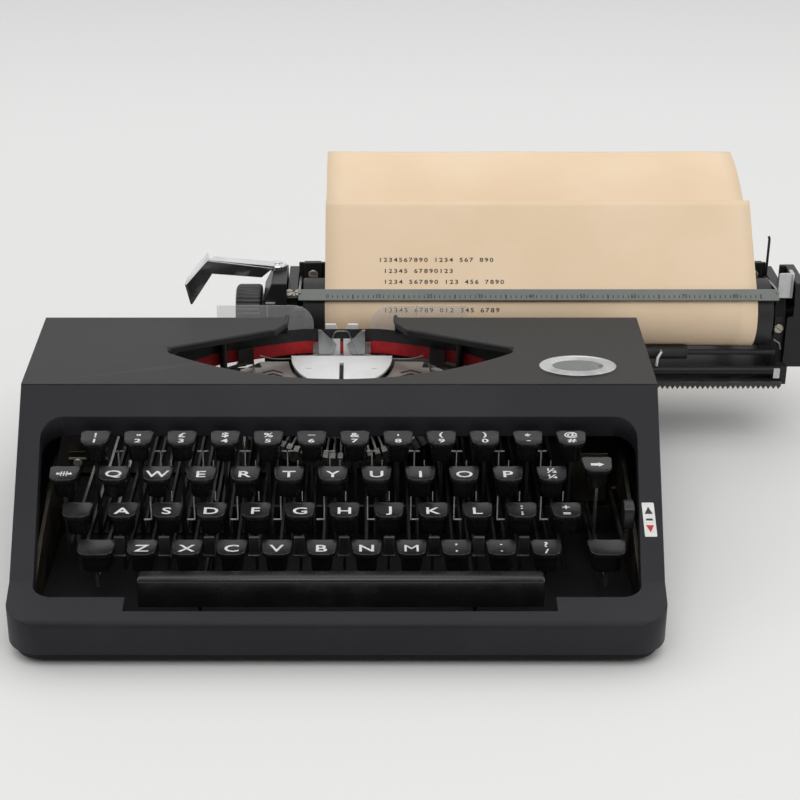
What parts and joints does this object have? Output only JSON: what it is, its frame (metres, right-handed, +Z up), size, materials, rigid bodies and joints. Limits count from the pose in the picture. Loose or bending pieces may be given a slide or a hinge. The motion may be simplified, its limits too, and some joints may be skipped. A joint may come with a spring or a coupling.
{
  "type": "portable manual typewriter",
  "caption": "Portable manual typewriter with a shallow black housing, keyboard well, lift-off ribbon cover, sliding carriage, platen and a sheet of paper.",
  "frame": {"origin": "on the desk, under the middle of the housing's front face", "axes": "+X to the typist's right along the carriage, +Y away from the typist, +Z up"},
  "size_m": [0.3932, 0.3085, 0.1235],
  "materials": {
    "housing": "fine leather grain",
    "cover": "fine grain",
    "pan": "moulded",
    "rubber": "matt",
    "key_plastic": "gloss",
    "lever_steel": "dull",
    "type_steel": "bright",
    "frame_metal": "yellowed plating",
    "bright_metal": "polished",
    "clear_plastic": "clear",
    "ribbon_cloth": "inked cloth, lower half red",
    "carriage_black": "satin",
    "platen_rubber": "smooth",
    "knob_plastic": "satin",
    "scale_grey": "satin",
    "paper": "uncoated paper"
  },
  "bodies": {
    "chassis": {"front_housing": "housing", "base_pan": "pan", "rubber_feet": "rubber", "side_frames": "frame_metal", "key_comb": "lever_steel", "key_pivot_rod": "lever_steel", "segment": "type_steel", "segment_plates": "frame_metal", "type_bar_rest": "frame_metal", "type_bars": "type_steel", "type_guide": "bright_metal", "shield_plate": "bright_metal", "card_holders": "clear_plastic", "spool_shelves": "frame_metal", "ribbon": "ribbon_cloth", "rear_cross_frame": "frame_metal", "rear_rail": "bright_metal"},
    "cover": {"ribbon_cover": "cover", "badge_plate": "bright_metal"},
    "number_row": {"number_row_caps": "key_plastic", "number_row_levers": "lever_steel"},
    "upper_row": {"upper_row_caps": "key_plastic", "upper_row_levers": "lever_steel"},
    "home_row": {"home_row_caps": "key_plastic", "home_row_levers": "lever_steel"},
    "lower_row": {"lower_row_caps": "key_plastic", "lower_row_levers": "lever_steel"},
    "h_key": {"h_key_cap": "key_plastic", "h_key_lever": "lever_steel"},
    "h_type_bar": {"h_type_bar": "type_steel"},
    "shift": {"shift_keys": "key_plastic"},
    "shift_lock": {"shift_lock_key": "key_plastic"},
    "margin_release": {"margin_release_key": "key_plastic"},
    "backspace": {"backspace_key": "key_plastic"},
    "selector": {"ribbon_selector": "lever_steel"},
    "space": {"space_bar": "key_plastic", "space_bar_arms": "lever_steel"},
    "universal_bar": {"universal_bar": "lever_steel"},
    "vibrator": {"ribbon_vibrator": "lever_steel"},
    "left_spool": {"left_ribbon_spool": "ribbon_cloth"},
    "right_spool": {"right_ribbon_spool": "ribbon_cloth"},
    "escapement": {"escapement_wheel": "lever_steel"},
    "drum": {"mainspring_drum": "lever_steel"},
    "carriage": {"carriage_frame": "carriage_black", "escapement_rack": "type_steel"},
    "left_stop": {"left_margin_stop": "carriage_black"},
    "right_stop": {"right_margin_stop": "carriage_black"},
    "platen_unit": {"platen_end_plates": "carriage_black", "end_covers": "carriage_black", "paper_table": "carriage_black", "paper_sheet": "paper"},
    "platen": {"platen": "platen_rubber", "platen_shaft": "bright_metal", "platen_knobs": "knob_plastic"},
    "front_roller": {"front_feed_roller": "platen_rubber"},
    "rear_roller": {"rear_feed_roller": "platen_rubber"},
    "bail": {"paper_bail": "scale_grey"},
    "return_lever": {"return_lever": "bright_metal"},
    "paper_release": {"paper_release_lever": "bright_metal"}
  },
  "joints": [
    {"name": "carriage_travel", "type": "slide", "parent": "chassis", "child": "carriage", "axis": [1, 0, 0], "range_m": [-0.206, 0.008]},
    {"name": "platen_lift", "type": "slide", "parent": "carriage", "child": "platen_unit", "axis": [0, 0, 1], "range_m": [0, 0.0065]},
    {"name": "cover_lift", "type": "slide", "parent": "chassis", "child": "cover", "axis": [0, 0, 1], "range_m": [0, 0.06]},
    {"name": "number_row_press", "type": "hinge", "parent": "chassis", "child": "number_row", "pos_m": [0, 0.214, 0.009], "axis": [1, 0, 0], "range_deg": [0, 2.4], "stiffness_Nm_per_rad": 3, "springref_deg": -8.59},
    {"name": "upper_row_press", "type": "hinge", "parent": "chassis", "child": "upper_row", "pos_m": [0, 0.214, 0.009], "axis": [1, 0, 0], "range_deg": [0, 2.4], "stiffness_Nm_per_rad": 3, "springref_deg": -8.59},
    {"name": "home_row_press", "type": "hinge", "parent": "chassis", "child": "home_row", "pos_m": [0, 0.214, 0.009], "axis": [1, 0, 0], "range_deg": [0, 2.4], "stiffness_Nm_per_rad": 3, "springref_deg": -8.59},
    {"name": "lower_row_press", "type": "hinge", "parent": "chassis", "child": "lower_row", "pos_m": [0, 0.214, 0.009], "axis": [1, 0, 0], "range_deg": [0, 2.4], "stiffness_Nm_per_rad": 3, "springref_deg": -8.59},
    {"name": "h_type_bar_swing", "type": "hinge", "parent": "chassis", "child": "h_type_bar", "pos_m": [0, 0.18038, 0.02105], "axis": [-1, 0, 0], "range_deg": [0, 95.5]},
    {"name": "h_key_press", "type": "hinge", "parent": "chassis", "child": "h_key", "pos_m": [0, 0.214, 0.009], "axis": [1, 0, 0], "range_deg": [0, 2.4], "stiffness_Nm_per_rad": 0.5, "springref_deg": -8.59},
    {"name": "shift_press", "type": "hinge", "parent": "chassis", "child": "shift", "pos_m": [0, 0.214, 0.009], "axis": [1, 0, 0], "range_deg": [0, 2.4]},
    {"name": "shift_lock_press", "type": "hinge", "parent": "chassis", "child": "shift_lock", "pos_m": [0, 0.214, 0.009], "axis": [1, 0, 0], "range_deg": [0, 2.4], "stiffness_Nm_per_rad": 0.4, "springref_deg": -8.59},
    {"name": "margin_release_press", "type": "hinge", "parent": "chassis", "child": "margin_release", "pos_m": [0, 0.214, 0.009], "axis": [1, 0, 0], "range_deg": [0, 2.4], "stiffness_Nm_per_rad": 0.4, "springref_deg": -8.59},
    {"name": "backspace_press", "type": "hinge", "parent": "chassis", "child": "backspace", "pos_m": [0, 0.214, 0.009], "axis": [1, 0, 0], "range_deg": [0, 2.4], "stiffness_Nm_per_rad": 0.4, "springref_deg": -8.59},
    {"name": "space_bar_press", "type": "hinge", "parent": "chassis", "child": "space", "pos_m": [0, 0.214, 0.009], "axis": [1, 0, 0], "range_deg": [0, 2.4], "stiffness_Nm_per_rad": 1.8, "springref_deg": -8.59},
    {"name": "ribbon_selector_tilt", "type": "hinge", "parent": "chassis", "child": "selector", "pos_m": [0.1247, 0.118, 0.02], "axis": [1, 0, 0], "range_deg": [-5, 5]},
    {"name": "universal_bar_drop", "type": "slide", "parent": "chassis", "child": "universal_bar", "axis": [0, 0, -1], "range_m": [0, 0.0004]},
    {"name": "ribbon_vibrator_lift", "type": "slide", "parent": "chassis", "child": "vibrator", "axis": [0, 0, 1], "range_m": [0, 0.0055]},
    {"name": "left_spool_turn", "type": "hinge", "parent": "chassis", "child": "left_spool", "pos_m": [-0.104, 0.16, 0.06], "axis": [0, 0, 1], "continuous": true},
    {"name": "right_spool_turn", "type": "hinge", "parent": "chassis", "child": "right_spool", "pos_m": [0.104, 0.16, 0.06], "axis": [0, 0, 1], "continuous": true},
    {"name": "escapement_turn", "type": "hinge", "parent": "chassis", "child": "escapement", "pos_m": [-0.00508, 0.2, 0.02476], "axis": [0, 1, 0], "range_deg": [-1500, 80]},
    {"name": "mainspring_turn", "type": "hinge", "parent": "chassis", "child": "drum", "pos_m": [-0.09, 0.257, 0.0154], "axis": [0, 1, 0], "range_deg": [-1100, 60]},
    {"name": "left_margin_set", "type": "slide", "parent": "carriage", "child": "left_stop", "axis": [1, 0, 0], "range_m": [0, 0.08]},
    {"name": "right_margin_set", "type": "slide", "parent": "carriage", "child": "right_stop", "axis": [1, 0, 0], "range_m": [-0.08, 0]},
    {"name": "platen_turn", "type": "hinge", "parent": "platen_unit", "child": "platen", "pos_m": [0.098, 0.226, 0.0645], "axis": [1, 0, 0], "continuous": true},
    {"name": "front_roller_turn", "type": "hinge", "parent": "platen_unit", "child": "front_roller", "pos_m": [0.098, 0.21289, 0.04772], "axis": [1, 0, 0], "continuous": true},
    {"name": "rear_roller_turn", "type": "hinge", "parent": "platen_unit", "child": "rear_roller", "pos_m": [0.098, 0.23911, 0.04772], "axis": [1, 0, 0], "continuous": true},
    {"name": "paper_bail_tilt", "type": "hinge", "parent": "platen_unit", "child": "bail", "pos_m": [0.098, 0.243, 0.074], "axis": [-1, 0, 0], "range_deg": [0, 40]},
    {"name": "return_lever_swing", "type": "hinge", "parent": "platen_unit", "child": "return_lever", "pos_m": [-0.033, 0.236, 0.086], "axis": [0, 0, 1], "range_deg": [0, 30], "stiffness_Nm_per_rad": 0.1, "springref_deg": -17.19},
    {"name": "paper_release_tilt", "type": "hinge", "parent": "platen_unit", "child": "paper_release", "pos_m": [0.225, 0.234, 0.072], "axis": [1, 0, 0], "range_deg": [0, 12]}
  ],
  "couplings": [
    {"joint": "h_type_bar_swing", "follows": "h_key_press", "ratio": 39.583},
    {"joint": "universal_bar_drop", "follows": "h_key_press", "m_per_rad": 0.0093106},
    {"joint": "ribbon_vibrator_lift", "follows": "h_key_press", "m_per_rad": 0.13106},
    {"joint": "shift_press", "follows": "platen_lift", "rad_per_m": 6.4379},
    {"joint": "right_spool_turn", "follows": "left_spool_turn", "ratio": 1},
    {"joint": "escapement_turn", "follows": "carriage_travel", "rad_per_m": 123.68},
    {"joint": "mainspring_turn", "follows": "carriage_travel", "rad_per_m": 90.909},
    {"joint": "front_roller_turn", "follows": "platen_turn", "ratio": -5},
    {"joint": "rear_roller_turn", "follows": "platen_turn", "ratio": -5}
  ]
}
